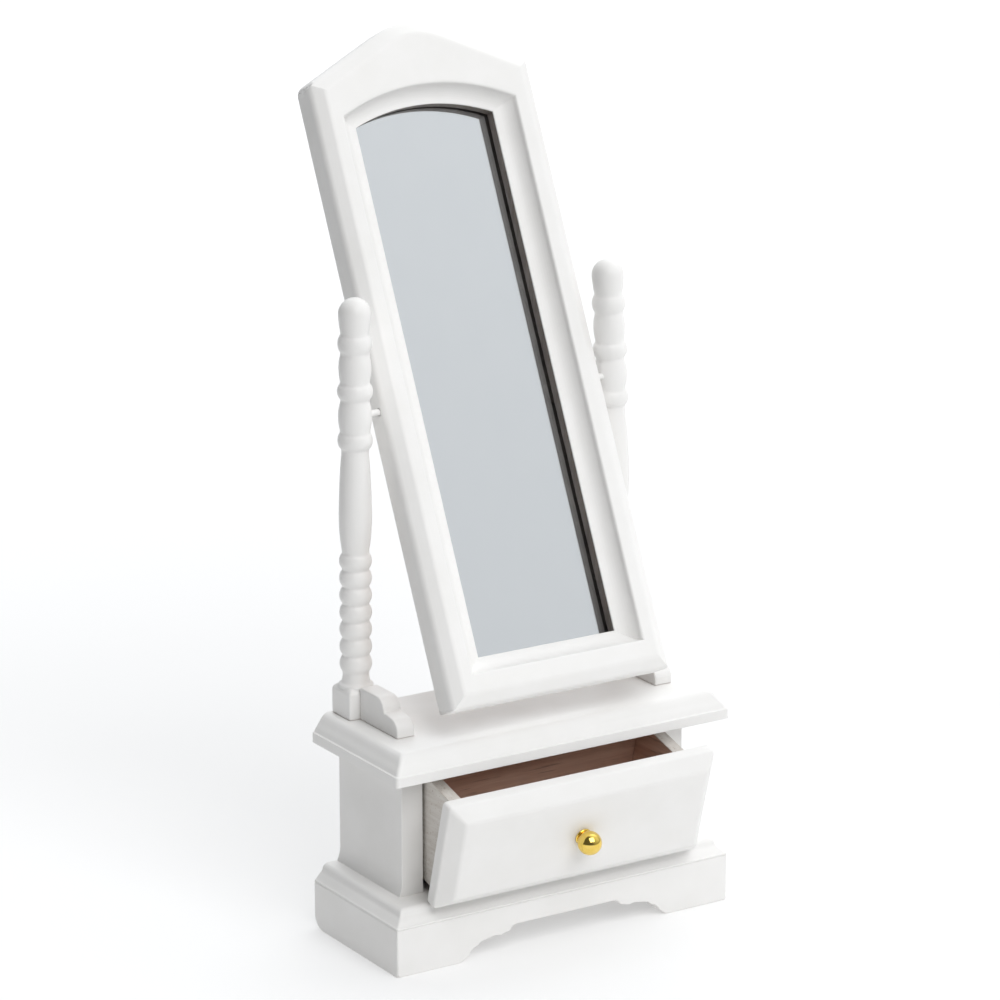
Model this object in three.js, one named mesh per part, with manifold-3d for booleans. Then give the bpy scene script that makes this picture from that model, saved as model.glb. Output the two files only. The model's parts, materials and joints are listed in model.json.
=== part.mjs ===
// Miniature cheval dressing mirror: a tilting mirror between two turned posts,
// standing on a small case with one drawer. Millimetres, +Z up, front faces -Y.
// The pieces are placed from the middle of the plinth's underside. At the end the
// whole is moved along Y, so that the origin is the bottom centre of its box at rest.
import * as THREE from 'three';
import { mergeVertices } from 'three/addons/utils/BufferGeometryUtils.js';
import Module from 'manifold-3d';

const wasm = await Module();
wasm.setup();

// ---- Driving dimensions -------------------------------------------------

const GLUE_GAP = 0.1;          // between glued pieces inside a tilted group
const FIT_GAP = 0.15;          // all round a pin or a dowel in its hole

const PLINTH_WIDTH = 66;
const PLINTH_DEPTH = 27;
const BACK_Y = PLINTH_DEPTH / 2;
const FRONT_Y = -PLINTH_DEPTH / 2;
const APRON_HEIGHT = 8.2;
const APRON_THICKNESS = 3.6;
const BASE_TOP = 11.1;

const CASE_WIDTH = 55.9;
const CASE_FRONT_Y = -6.76;
const CASE_SIDE_THICKNESS = 4.1;
const CASE_BACK_THICKNESS = 2;
const CASE_TOP = 32.9;

const TOP_BOARD_WIDTH = 65.8;
const TOP_BOARD_BACK_Y = 13.8;
const TOP_BOARD_TOP = 37.7;

const POST_X = 26.25;
const POST_Y = 10.5;
const POST_FOOT_WIDTH = 6;
const POST_FOOT_HEIGHT = 5.3;
const POST_SIDES = 20;
const POST_LEAN_IN = { left: 0.4, right: 1.6 };   // degrees, of the turned shaft only
const POST_LEAN_BACK = { left: 0, right: 1.2 };
const DOWEL_DIAMETER = 2;
const DOWEL_DEPTH = 3.4;       // into the foot and into the top board alike

const BRACKET_OUTER_X = 27.3;
const BRACKET_THICKNESS = 3.4;

const PIVOT_Z = 89;
const MIRROR_TILT = 24.9;      // degrees, top leaning back, as it stands at rest
const PIN_DIAMETER = 1.1;
const PIN_OUTER_X = 26.2;
const PIN_INNER_X = 18;

const FRAME_HALF_WIDTH = 21.4;
const FRAME_BOTTOM = -50.8;    // heights on the mirror are counted from its pivot
const FRAME_SHOULDER = 55.5;
const FRAME_SLOPE = 25.5;      // degrees, of the head's straight shoulders
const FRAME_CROWN_RADIUS = 14;
const FRAME_BACK = -2.9;       // depths are counted forward from the sight edge
const FRAME_SIDE_FRONT = 1.4;
const FRAME_FACE = 2.85;
const FRAME_BEVEL_WIDTH = 2.3;
const SIGHT_HALF_WIDTH = 13.45;
const SIGHT_BOTTOM = -42.7;
const SIGHT_APEX = 50.2;
const SIGHT_ARCH_RADIUS = 35.5;
const COVE_SIDE_WIDTH = 3.3;
const COVE_BOTTOM_WIDTH = 2.6;
const COVE_TOP_WIDTH = 2.85;
const COVE_STEPS = 6;
const ARC_STEPS = 16;
const REBATE_WIDTH = 1.3;
const REBATE_FRONT = -1.8;
const GLASS_FRONT = -2.1;
const GLASS_MARGIN = 1;
const BACKING_FRONT = -3.2;
const BACKING_THICKNESS = 0.8;
const BACKING_INSET = 1.1;

const DRAWER_LEAN = 15.2;      // degrees, how far the open drawer tips forward
const DRAWER_TURN_Y = -9;      // centre of the drawer's slide-and-tip movement
const DRAWER_TURN_Z = -6.3;
const DRAWER_BACK_OF_FRONT_Y = -7.05;
const DRAWER_BOTTOM_Z = 11.45;
const DRAWER_FRONT_WIDTH = 52.5;
const DRAWER_FRONT_HEIGHT = 19.9;
const DRAWER_FRONT_EDGE = 2;
const DRAWER_FRONT_THICKNESS = 4.27;
const DRAWER_FRONT_BEVEL = 2.46;
const DRAWER_BOX_WIDTH = 46.6;
const DRAWER_BOX_LENGTH = 15;
const DRAWER_SIDE_HEIGHT = 17.9;
const DRAWER_SIDE_THICKNESS = 2.3;
const DRAWER_FLOOR_THICKNESS = 1.5;
const DRAWER_FLOOR_LIFT = 0.6;

const KNOB_BALL_RADIUS = 2.05;
const KNOB_BALL_CENTRE = 1.95; // out from the drawer's face
const KNOB_FLANGE_RADIUS = 1.5;
const KNOB_SPIKE_RADIUS = 0.45;
const KNOB_SPIKE_LENGTH = 3;

// ---- Materials ----------------------------------------------------------

const standard = (color, roughness, metalness) => (
  new THREE.MeshStandardMaterial({ color, roughness, metalness })
);
const paint = () => standard(0xf3f2ef, 0.42, 0);
const bareWood = () => standard(0x8a5f4b, 0.75, 0);
const panelBoard = () => standard(0x9c7a62, 0.85, 0);
const silveredGlass = () => standard(0xb9c2c6, 0.04, 1);
const brass = () => standard(0xd9a520, 0.18, 1);
const paintedSteel = () => standard(0xe6e4e0, 0.45, 0);

// ---- Solids -------------------------------------------------------------

function toSolid(geometry) {
  const bare = geometry.clone();
  bare.deleteAttribute('normal');
  bare.deleteAttribute('uv');
  const merged = mergeVertices(bare, 1e-5);
  return new wasm.Manifold(new wasm.Mesh({
    numProp: 3,
    vertProperties: new Float32Array(merged.attributes.position.array),
    triVerts: new Uint32Array(merged.index.array),
  }));
}

function toGeometry(solid) {
  const mesh = solid.getMesh();
  const geometry = new THREE.BufferGeometry();
  geometry.setAttribute('position', new THREE.BufferAttribute(new Float32Array(mesh.vertProperties), 3));
  geometry.setIndex(new THREE.BufferAttribute(new Uint32Array(mesh.triVerts), 1));
  geometry.computeVertexNormals();
  return geometry;
}

function cut(geometry, ...tools) {
  let solid = toSolid(geometry);
  for (const tool of tools) solid = solid.subtract(toSolid(tool));
  return toGeometry(solid);
}

const join = (a, b) => toGeometry(toSolid(a).add(toSolid(b)));
const common = (a, b) => toGeometry(toSolid(a).intersect(toSolid(b)));

// A block between two corners.
function block([x0, y0, z0], [x1, y1, z1]) {
  const geometry = new THREE.BoxGeometry(x1 - x0, y1 - y0, z1 - z0);
  return geometry.translate((x0 + x1) / 2, (y0 + y1) / 2, (z0 + z1) / 2);
}

// A round rod along X between two places.
function rodAlongX(diameter, x0, x1, y = 0, z = 0) {
  const geometry = new THREE.CylinderGeometry(diameter / 2, diameter / 2, Math.abs(x1 - x0), 16);
  return geometry.rotateZ(Math.PI / 2).translate((x0 + x1) / 2, y, z);
}

// A round rod along Z.
function rodAlongZ(diameter, x, y, z0, z1) {
  const geometry = new THREE.CylinderGeometry(diameter / 2, diameter / 2, z1 - z0, 16);
  return geometry.rotateX(Math.PI / 2).translate(x, y, (z0 + z1) / 2);
}

// A flat outline in XY, pushed along +Z.
function prism(points, depth) {
  return new THREE.ExtrudeGeometry(new THREE.Shape(points), { depth, bevelEnabled: false });
}

// A solid through outlines that all have the same number of points, stacked along +Z.
function stack(layers) {
  const size = layers[0].outline.length;
  const positions = layers.flatMap(({ z, outline }) => outline.flatMap((p) => [p.x, p.y, z]));
  const faces = [];
  for (let k = 0; k < layers.length - 1; k += 1) {
    for (let i = 0; i < size; i += 1) {
      const a = k * size + i;
      const b = k * size + ((i + 1) % size);
      faces.push(a, b, b + size, a, b + size, a + size);
    }
  }
  const top = (layers.length - 1) * size;
  for (const [a, b, c] of THREE.ShapeUtils.triangulateShape(layers[0].outline, [])) faces.push(a, c, b);
  for (const [a, b, c] of THREE.ShapeUtils.triangulateShape(layers.at(-1).outline, [])) {
    faces.push(top + a, top + b, top + c);
  }
  const geometry = new THREE.BufferGeometry();
  geometry.setAttribute('position', new THREE.BufferAttribute(new Float32Array(positions), 3));
  geometry.setIndex(faces);
  return geometry;
}

const point = (x, y) => new THREE.Vector2(x, y);

// Points on a circle from one angle to another, in degrees.
function arc(x, y, radius, from, to, steps = 6) {
  return Array.from({ length: steps + 1 }, (_, i) => {
    const angle = THREE.MathUtils.degToRad(from + ((to - from) * i) / steps);
    return point(x + radius * Math.cos(angle), y + radius * Math.sin(angle));
  });
}

// ---- Assembly -----------------------------------------------------------

const table = new THREE.Group();

const mirror = new THREE.Group();
mirror.position.set(0, POST_Y, PIVOT_Z);
mirror.rotation.x = -THREE.MathUtils.degToRad(MIRROR_TILT);
table.add(mirror);

// The drawer's pieces keep their closed places; the group turns about the
// centre of the slide-and-tip movement to stand open.
const drawer = new THREE.Group();
drawer.position.set(0, DRAWER_TURN_Y, DRAWER_TURN_Z);
drawer.rotation.x = THREE.MathUtils.degToRad(DRAWER_LEAN);
table.add(drawer);

function add(group, name, geometry, material) {
  const mesh = new THREE.Mesh(geometry, material);
  mesh.name = name;
  group.add(mesh);
}

const addDrawerPiece = (name, geometry, material) => {
  add(drawer, name, geometry.translate(0, -DRAWER_TURN_Y, -DRAWER_TURN_Z), material);
};

// Mirror pieces are drawn as width, height and depth, then stood upright.
const addMirrorPiece = (name, geometry, material) => {
  add(mirror, name, geometry.rotateX(Math.PI / 2), material);
};

// ---- Plinth -------------------------------------------------------------

// Half of the front apron's lower edge, from the middle to the outer corner:
// a long flat arch, a hollow, a step, a lobe and the foot.
function apronEdge() {
  return [
    point(0, 4.65),
    ...arc(9.6, 3.05, 1.6, 90, 25, 3),
    ...arc(13.9, 1.3, 2.15, 115, 75, 3),
    point(16.7, 2.95),
    ...arc(16.9, 0.1, 2.35, 78, 25, 4),
    point(19.6, 0.6),
    point(20.6, 0),
    point(PLINTH_WIDTH / 2, 0),
  ];
}

function apronFront() {
  const edge = apronEdge();
  const half = PLINTH_WIDTH / 2;
  const outline = [
    ...edge,
    point(half, APRON_HEIGHT),
    point(-half, APRON_HEIGHT),
    ...edge.slice(1).reverse().map((p) => point(-p.x, p.y)),
  ];
  const board = prism(outline, APRON_THICKNESS)
    .rotateX(Math.PI / 2)
    .translate(0, FRONT_Y + APRON_THICKNESS, 0);
  const inner = half - APRON_THICKNESS;
  const plan = [
    point(-half, FRONT_Y),
    point(half, FRONT_Y),
    point(inner, FRONT_Y + APRON_THICKNESS),
    point(-inner, FRONT_Y + APRON_THICKNESS),
  ];
  return common(board, prism(plan, APRON_HEIGHT));
}

function apronSide(side) {
  const outer = (side * PLINTH_WIDTH) / 2;
  const inner = outer - side * APRON_THICKNESS;
  const plan = [
    point(outer, FRONT_Y),
    point(outer, BACK_Y),
    point(inner, BACK_Y),
    point(inner, FRONT_Y + APRON_THICKNESS),
  ];
  return toGeometry(toSolid(prism(plan, APRON_HEIGHT)));
}

// A board moulded on its front and both ends, and square at the back.
function mouldedBoard(width, backY, steps) {
  return stack(steps.map(([z, inset]) => {
    const x = width / 2 - inset;
    const y = FRONT_Y + inset;
    return { z, outline: [point(-x, y), point(x, y), point(x, backY), point(-x, backY)] };
  }));
}

add(table, 'apron_front', apronFront(), paint());
add(table, 'apron_left', apronSide(-1), paint());
add(table, 'apron_right', apronSide(1), paint());
add(table, 'apron_back', block(
  [-PLINTH_WIDTH / 2 + APRON_THICKNESS, BACK_Y - APRON_THICKNESS, 0],
  [PLINTH_WIDTH / 2 - APRON_THICKNESS, BACK_Y, APRON_HEIGHT],
), paint());
add(table, 'base_board', mouldedBoard(PLINTH_WIDTH, BACK_Y, [
  [APRON_HEIGHT, 0],
  [APRON_HEIGHT + 0.25, 0],
  [BASE_TOP - 1.25, 1.45],
  [BASE_TOP - 0.35, 1.7],
  [BASE_TOP, 2.3],
]), paint());

// ---- Case ---------------------------------------------------------------

const CASE_INNER_X = CASE_WIDTH / 2 - CASE_SIDE_THICKNESS;

for (const [name, side] of [['left', -1], ['right', 1]]) {
  const x = [side * CASE_INNER_X, (side * CASE_WIDTH) / 2].sort((a, b) => a - b);
  add(table, `case_side_${name}`, block([x[0], CASE_FRONT_Y, BASE_TOP], [x[1], BACK_Y, CASE_TOP]), paint());
}
add(table, 'case_back', block(
  [-CASE_INNER_X, BACK_Y - CASE_BACK_THICKNESS, BASE_TOP],
  [CASE_INNER_X, BACK_Y, CASE_TOP],
), paint());

function topBoard() {
  const board = mouldedBoard(TOP_BOARD_WIDTH, TOP_BOARD_BACK_Y, [
    [CASE_TOP, 0],
    [CASE_TOP + 1.9, 0],
    [TOP_BOARD_TOP - 0.4, 2.05],
    [TOP_BOARD_TOP, 2.6],
  ]);
  const holeBottom = TOP_BOARD_TOP - DOWEL_DEPTH - FIT_GAP;
  const holes = [-1, 1].map((side) => rodAlongZ(
    DOWEL_DIAMETER + 2 * FIT_GAP, side * POST_X, POST_Y, holeBottom, TOP_BOARD_TOP + 1,
  ));
  return cut(board, ...holes);
}
add(table, 'top_board', topBoard(), paint());

// ---- Posts --------------------------------------------------------------

// One turned stretch: from one radius to the next, with a swelling between.
function turning(z0, z1, r0, r1, swell, steps) {
  return Array.from({ length: steps }, (_, i) => {
    const t = i / steps;
    return point(r0 + (r1 - r0) * t + swell * Math.sin(Math.PI * t), z0 + (z1 - z0) * t);
  });
}

// The turned part of a post, by height above the surface it stands on.
function postProfile() {
  const footTop = TOP_BOARD_TOP + POST_FOOT_HEIGHT - 0.4;
  const beadsStart = 45.15;
  const beadsEnd = 65.85;
  const beads = 7;
  const pitch = (beadsEnd - beadsStart) / beads;
  const bulbZ = 106.2;
  const bulbRadius = 2.72;
  const postTop = 108.9;
  const profile = [point(0, footTop), ...turning(footTop, beadsStart, 2.9, 2.25, -0.25, 3)];
  for (let i = 0; i < beads; i += 1) {
    const z = beadsStart + i * pitch;
    profile.push(...turning(z, z + pitch, 2.25, 2.25, 0.48, 5));
  }
  profile.push(
    ...turning(beadsEnd, 71.8, 2.25, 2.75, 0.12, 3),
    ...turning(71.8, 83.2, 2.75, 2.28, 0.1, 4),
    ...turning(83.2, 86.4, 2.28, 2.5, 0.52, 5),
    ...turning(86.4, 91.7, 2.5, 2.4, 0.35, 4),
    ...turning(91.7, 94.7, 2.4, 2.45, 0.54, 5),
    ...turning(94.7, 99.6, 2.45, 2.4, 0.28, 4),
    ...turning(99.6, 102.9, 2.4, 2.38, 0.46, 5),
    ...turning(102.9, bulbZ, 2.38, bulbRadius, 0.06, 3),
  );
  for (let i = 0; i < 5; i += 1) {
    const angle = (i / 5) * (Math.PI / 2);
    profile.push(point(bulbRadius * Math.cos(angle), bulbZ + (postTop - bulbZ) * Math.sin(angle)));
  }
  profile.push(point(0, postTop));
  return profile;
}

// A post stands on a square foot. Its turned shaft leans a little from the top of the foot.
function post(name, side) {
  const x = side * POST_X;
  const half = POST_FOOT_WIDTH / 2;
  const footTop = TOP_BOARD_TOP + POST_FOOT_HEIGHT;
  const shaft = new THREE.LatheGeometry(postProfile(), POST_SIDES)
    .rotateX(Math.PI / 2)
    .translate(0, 0, -footTop)
    .rotateX(-THREE.MathUtils.degToRad(POST_LEAN_BACK[name]))
    .rotateY(-side * THREE.MathUtils.degToRad(POST_LEAN_IN[name]))
    .translate(x, POST_Y, footTop);
  const square = (inset) => [
    point(x - half + inset, POST_Y - half + inset),
    point(x + half - inset, POST_Y - half + inset),
    point(x + half - inset, POST_Y + half - inset),
    point(x - half + inset, POST_Y + half - inset),
  ];
  const foot = stack([
    { z: TOP_BOARD_TOP, outline: square(0) },
    { z: footTop - 0.6, outline: square(0) },
    { z: footTop, outline: square(0.6) },
  ]);
  const dowelHole = rodAlongZ(
    DOWEL_DIAMETER + 2 * FIT_GAP, x, POST_Y, TOP_BOARD_TOP - 1, TOP_BOARD_TOP + DOWEL_DEPTH + FIT_GAP,
  );
  const pinHole = rodAlongX(
    PIN_DIAMETER + 2 * FIT_GAP, side * (POST_X - 5), side * (PIN_OUTER_X + FIT_GAP), POST_Y, PIVOT_Z,
  );
  return cut(join(shaft, foot), dowelHole, pinHole);
}

// A post's bracket, seen from the side: a flat top rounded over at the front,
// a small step, and a lower lobe down to the board.
function bracket(side) {
  const z = TOP_BOARD_TOP;
  const outline = [
    point(POST_Y - POST_FOOT_WIDTH / 2, z),
    point(POST_Y - POST_FOOT_WIDTH / 2, z + 5.6),
    ...arc(2.1, z + 3.4, 2.2, 90, 175, 6),
    point(-0.5, z + 3.4),
    ...arc(-2.3, z + 0.9, 2.15, 97, 172, 6),
    point(-4.47, z),
  ];
  const inner = BRACKET_OUTER_X - BRACKET_THICKNESS;
  const x0 = side > 0 ? inner : -BRACKET_OUTER_X;
  const upright = new THREE.Matrix4().makeBasis(
    new THREE.Vector3(0, 1, 0), new THREE.Vector3(0, 0, 1), new THREE.Vector3(1, 0, 0),
  );
  return prism(outline, BRACKET_THICKNESS).applyMatrix4(upright).translate(x0, 0, 0);
}

for (const [name, side] of [['left', -1], ['right', 1]]) {
  add(table, `post_${name}`, post(name, side), paint());
  add(table, `post_dowel_${name}`, rodAlongZ(
    DOWEL_DIAMETER, side * POST_X, POST_Y, TOP_BOARD_TOP - DOWEL_DEPTH, TOP_BOARD_TOP + DOWEL_DEPTH,
  ), bareWood());
  add(table, `bracket_${name}`, bracket(side), paint());
  add(table, `pivot_pin_${name}`, rodAlongX(
    PIN_DIAMETER, side * PIN_INNER_X, side * PIN_OUTER_X, POST_Y, PIVOT_Z,
  ), paintedSteel());
}

// ---- Mirror -------------------------------------------------------------

// The frame's outer edge, moved in by an inset: straight sides and bottom,
// sloping shoulders and a round crown.
function frameOutline(inset) {
  const slope = THREE.MathUtils.degToRad(FRAME_SLOPE);
  const x = FRAME_HALF_WIDTH - inset;
  const shoulder = FRAME_SHOULDER + inset * Math.tan(slope) - inset / Math.cos(slope);
  const crown = FRAME_SHOULDER + FRAME_HALF_WIDTH * Math.tan(slope) - FRAME_CROWN_RADIUS / Math.cos(slope);
  return [
    point(-x, FRAME_BOTTOM + inset),
    point(x, FRAME_BOTTOM + inset),
    point(x, shoulder),
    ...arc(0, crown, FRAME_CROWN_RADIUS - inset, 90 - FRAME_SLOPE, 90 + FRAME_SLOPE, ARC_STEPS / 2),
    point(-x, shoulder),
  ];
}

// The sight opening's edge, moved out by its own distance at the sides, bottom and top.
function sightOutline(sides, bottom, top) {
  const x = SIGHT_HALF_WIDTH + sides;
  const radius = SIGHT_ARCH_RADIUS + top;
  const reach = THREE.MathUtils.radToDeg(Math.asin(x / radius));
  return [
    point(-x, SIGHT_BOTTOM - bottom),
    point(x, SIGHT_BOTTOM - bottom),
    ...arc(0, SIGHT_APEX - SIGHT_ARCH_RADIUS, radius, 90 - reach, 90 + reach, ARC_STEPS),
  ];
}

const evenSight = (margin) => sightOutline(margin, margin, margin);

// The whole moulded frame, before it is sawn into its mitred lengths.
function wholeFrame() {
  const body = stack([
    { z: FRAME_BACK, outline: frameOutline(0) },
    { z: FRAME_SIDE_FRONT, outline: frameOutline(0) },
    { z: FRAME_FACE, outline: frameOutline(FRAME_BEVEL_WIDTH) },
  ]);
  const through = [{ z: FRAME_BACK - 1, outline: evenSight(0) }];
  for (let i = 0; i <= COVE_STEPS; i += 1) {
    const angle = (i / COVE_STEPS) * (Math.PI / 2);
    const out = Math.sin(angle);
    through.push({
      z: (FRAME_FACE + 0.05) * (1 - Math.cos(angle)),
      outline: sightOutline(COVE_SIDE_WIDTH * out, COVE_BOTTOM_WIDTH * out, COVE_TOP_WIDTH * out),
    });
  }
  const rebate = stack([
    { z: FRAME_BACK - 1, outline: evenSight(REBATE_WIDTH) },
    { z: REBATE_FRONT, outline: evenSight(REBATE_WIDTH) },
  ]);
  return cut(body, stack(through), rebate);
}

// Keeps the part of the frame inside one outline.
function sawn(frame, outline) {
  const reach = 20;
  return common(frame, prism(outline, reach).translate(0, 0, -reach / 2));
}

// A mitre runs from the sight corner through the outer corner.
function mitrePoint(corner, outerCorner, t) {
  return point(corner.x + (outerCorner.x - corner.x) * t, corner.y + (outerCorner.y - corner.y) * t);
}

function addFrame() {
  const frame = wholeFrame();
  const rise = Math.sqrt(SIGHT_ARCH_RADIUS ** 2 - SIGHT_HALF_WIDTH ** 2);
  const topCorner = point(SIGHT_HALF_WIDTH, SIGHT_APEX - SIGHT_ARCH_RADIUS + rise);
  const lowCorner = point(SIGHT_HALF_WIDTH, SIGHT_BOTTOM);
  const top = (t) => mitrePoint(topCorner, point(FRAME_HALF_WIDTH, FRAME_SHOULDER), t);
  const low = (t) => mitrePoint(lowCorner, point(FRAME_HALF_WIDTH, FRAME_BOTTOM), t);
  const mitreEnds = [-0.6, 3];
  const gap = GLUE_GAP / 2;
  const shifted = (p, dy, side = 1) => point(side * p.x, p.y + dy);
  const stile = (side) => [
    shifted(low(mitreEnds[0]), gap, side),
    shifted(low(mitreEnds[1]), gap, side),
    shifted(top(mitreEnds[1]), -gap, side),
    shifted(top(mitreEnds[0]), -gap, side),
  ];
  const across = (mitre, dy) => [
    shifted(mitre(mitreEnds[0]), dy, -1),
    shifted(mitre(mitreEnds[0]), dy),
    shifted(mitre(mitreEnds[1]), dy),
    shifted(mitre(mitreEnds[1]), dy, -1),
  ];
  for (const [name, side] of [['left', -1], ['right', 1]]) {
    const hole = rodAlongX(
      PIN_DIAMETER + 2 * FIT_GAP, side * (PIN_INNER_X - FIT_GAP), side * (FRAME_HALF_WIDTH + 1),
    );
    addMirrorPiece(`frame_stile_${name}`, cut(sawn(frame, stile(side)), hole), paint());
  }
  addMirrorPiece('frame_bottom_rail', sawn(frame, across(low, -gap)), paint());
  addMirrorPiece('frame_head', sawn(frame, across(top, gap)), paint());
}

addFrame();
addMirrorPiece('mirror_glass', stack([
  { z: FRAME_BACK, outline: evenSight(GLASS_MARGIN) },
  { z: GLASS_FRONT, outline: evenSight(GLASS_MARGIN) },
]), silveredGlass());
addMirrorPiece('backing_panel', stack([
  { z: BACKING_FRONT - BACKING_THICKNESS, outline: frameOutline(BACKING_INSET) },
  { z: BACKING_FRONT, outline: frameOutline(BACKING_INSET) },
]), panelBoard());

// ---- Drawer -------------------------------------------------------------

function roundedRectangle(halfWidth, halfHeight, radius) {
  const x = halfWidth - radius;
  const y = halfHeight - radius;
  return [
    ...arc(-x, -y, radius, 180, 270, 3),
    ...arc(x, -y, radius, 270, 360, 3),
    ...arc(x, y, radius, 0, 90, 3),
    ...arc(-x, y, radius, 90, 180, 3),
  ];
}

const DRAWER_MIDDLE_Z = DRAWER_BOTTOM_Z + DRAWER_FRONT_HEIGHT / 2;

// Turns a shape drawn as width, height and depth to face the front,
// with depth 0 on the back of the drawer's front board.
const ontoDrawerFront = (geometry) => (
  geometry.rotateX(Math.PI / 2).translate(0, DRAWER_BACK_OF_FRONT_Y, DRAWER_MIDDLE_Z)
);

function drawerFront() {
  const outline = (inset, radius) => (
    roundedRectangle(DRAWER_FRONT_WIDTH / 2 - inset, DRAWER_FRONT_HEIGHT / 2 - inset, radius)
  );
  const board = stack([
    { z: 0, outline: outline(0, 0.8) },
    { z: DRAWER_FRONT_EDGE, outline: outline(0, 0.8) },
    { z: DRAWER_FRONT_THICKNESS, outline: outline(DRAWER_FRONT_BEVEL, 0.4) },
  ]);
  const spikeHole = rodAlongZ(
    2 * (KNOB_SPIKE_RADIUS + FIT_GAP), 0, 0,
    DRAWER_FRONT_THICKNESS - KNOB_SPIKE_LENGTH - 2 * FIT_GAP, DRAWER_FRONT_THICKNESS + 1,
  );
  return ontoDrawerFront(cut(board, spikeHole));
}

function knob() {
  const face = DRAWER_FRONT_THICKNESS + GLUE_GAP;
  const neck = 0.8;
  const neckAngle = THREE.MathUtils.radToDeg(Math.asin(neck / KNOB_BALL_RADIUS));
  const profile = [
    point(0, face - KNOB_SPIKE_LENGTH),
    point(KNOB_SPIKE_RADIUS, face - KNOB_SPIKE_LENGTH + 0.6),
    point(KNOB_SPIKE_RADIUS, face),
    point(KNOB_FLANGE_RADIUS, face),
    point(KNOB_FLANGE_RADIUS, face + 0.2),
    point(KNOB_FLANGE_RADIUS - 0.3, face + 0.35),
    ...arc(0, face + KNOB_BALL_CENTRE + 0.1, KNOB_BALL_RADIUS, neckAngle - 90, 80, 9),
    point(0, face + KNOB_BALL_CENTRE + 0.1 + KNOB_BALL_RADIUS),
  ];
  return ontoDrawerFront(new THREE.LatheGeometry(profile, 24).rotateX(Math.PI / 2));
}

function addDrawer() {
  const boxFront = DRAWER_BACK_OF_FRONT_Y + GLUE_GAP;
  const boxBack = DRAWER_BACK_OF_FRONT_Y + DRAWER_BOX_LENGTH;
  const outer = DRAWER_BOX_WIDTH / 2;
  const inner = outer - DRAWER_SIDE_THICKNESS;
  const bottom = DRAWER_BOTTOM_Z;
  const top = DRAWER_BOTTOM_Z + DRAWER_SIDE_HEIGHT;
  const between = inner - GLUE_GAP;
  const backFront = boxBack - DRAWER_SIDE_THICKNESS;
  const floorZ = bottom + DRAWER_FLOOR_LIFT;
  addDrawerPiece('drawer_front', drawerFront(), paint());
  addDrawerPiece('drawer_side_left', block([-outer, boxFront, bottom], [-inner, boxBack, top]), bareWood());
  addDrawerPiece('drawer_side_right', block([inner, boxFront, bottom], [outer, boxBack, top]), bareWood());
  addDrawerPiece('drawer_back', block([-between, backFront, bottom], [between, boxBack, top]), bareWood());
  addDrawerPiece('drawer_bottom', block(
    [-between, boxFront, floorZ], [between, backFront - GLUE_GAP, floorZ + DRAWER_FLOOR_THICKNESS],
  ), bareWood());
  addDrawerPiece('knob', knob(), brass());
}

addDrawer();

const extent = new THREE.Box3().setFromObject(table, true);
table.position.y = -(extent.min.y + extent.max.y) / 2;

export default table;
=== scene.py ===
"""Miniature cheval dressing mirror with a drawer: its looks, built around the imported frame.

Shapes are drawn in millimetres and turned into metres when they become a mesh. Upright pieces
take their places from the CAD nodes. The mirror and the drawer are drawn in frames of their own,
the mirror upright and the drawer closed, and are then placed as the CAD model holds them at rest.
"""

import json
import math

import bmesh
import bpy
from mathutils import Matrix, Vector


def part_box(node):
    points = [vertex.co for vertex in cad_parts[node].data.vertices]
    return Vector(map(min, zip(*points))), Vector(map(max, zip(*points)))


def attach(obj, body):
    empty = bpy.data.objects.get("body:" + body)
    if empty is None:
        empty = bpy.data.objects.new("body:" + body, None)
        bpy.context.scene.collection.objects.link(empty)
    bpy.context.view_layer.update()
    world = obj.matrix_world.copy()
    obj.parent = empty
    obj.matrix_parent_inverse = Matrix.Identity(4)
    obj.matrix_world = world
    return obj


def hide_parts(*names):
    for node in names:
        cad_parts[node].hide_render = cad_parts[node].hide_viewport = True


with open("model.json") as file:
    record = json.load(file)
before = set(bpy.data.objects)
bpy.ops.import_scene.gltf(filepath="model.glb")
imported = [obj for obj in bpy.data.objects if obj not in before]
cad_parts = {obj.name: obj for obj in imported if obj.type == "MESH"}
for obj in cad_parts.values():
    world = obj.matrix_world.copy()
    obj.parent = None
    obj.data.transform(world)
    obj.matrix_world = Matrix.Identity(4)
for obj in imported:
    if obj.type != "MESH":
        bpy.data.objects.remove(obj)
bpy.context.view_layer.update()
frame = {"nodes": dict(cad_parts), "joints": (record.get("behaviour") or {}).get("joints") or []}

MM = 0.001

# ---- Driving dimensions, in millimetres and degrees --------------------------------------

MIRROR_TILT = 24.9
DRAWER_LEAN = 15.2

EDGE_RADIUS = 0.18          # how far painted edges are rounded over
CORNER_RADIUS = 0.4         # the plinth's upright corners, in plan
SHARP_ANGLE = 50            # edges that turn by more than this are left crisp
POST_LEAN_IN = {"left": 0.4, "right": 1.6}      # the turned shafts, towards the mirror
POST_LEAN_BACK = {"left": 0, "right": 1.2}      # and away from the front

CAMERA_AZIMUTH = -32.39
CAMERA_ELEVATION = 16.2
CAMERA_DISTANCE = 719.4
CAMERA_LENS = 156.87        # on the default 36 mm sensor
CAMERA_AIM = (-4.51, 0, 73.96)  # from the middle of the plinth's underside

nodes = frame["nodes"]
joints = {joint["name"]: joint for joint in frame["joints"]}


def corners(node):
    """A CAD node's lowest and highest corners, in millimetres."""
    low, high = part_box(node)
    return low / MM, high / MM


def turned_about(joint, degrees):
    """The place of a body that is drawn unturned, about its joint's X axis."""
    pivot = Matrix.Translation(Vector(joints[joint]["pos_m"]) / MM)
    return pivot @ Matrix.Rotation(math.radians(degrees), 4, "X") @ pivot.inverted()


mirror_pivot = Vector(joints["mirror_tilt"]["pos_m"]) / MM
UPRIGHT = Matrix.Identity(4)
MIRROR = turned_about("mirror_tilt", -MIRROR_TILT) @ Matrix.Translation(mirror_pivot)
DRAWER = turned_about("drawer_slide_and_tip", DRAWER_LEAN)


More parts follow.
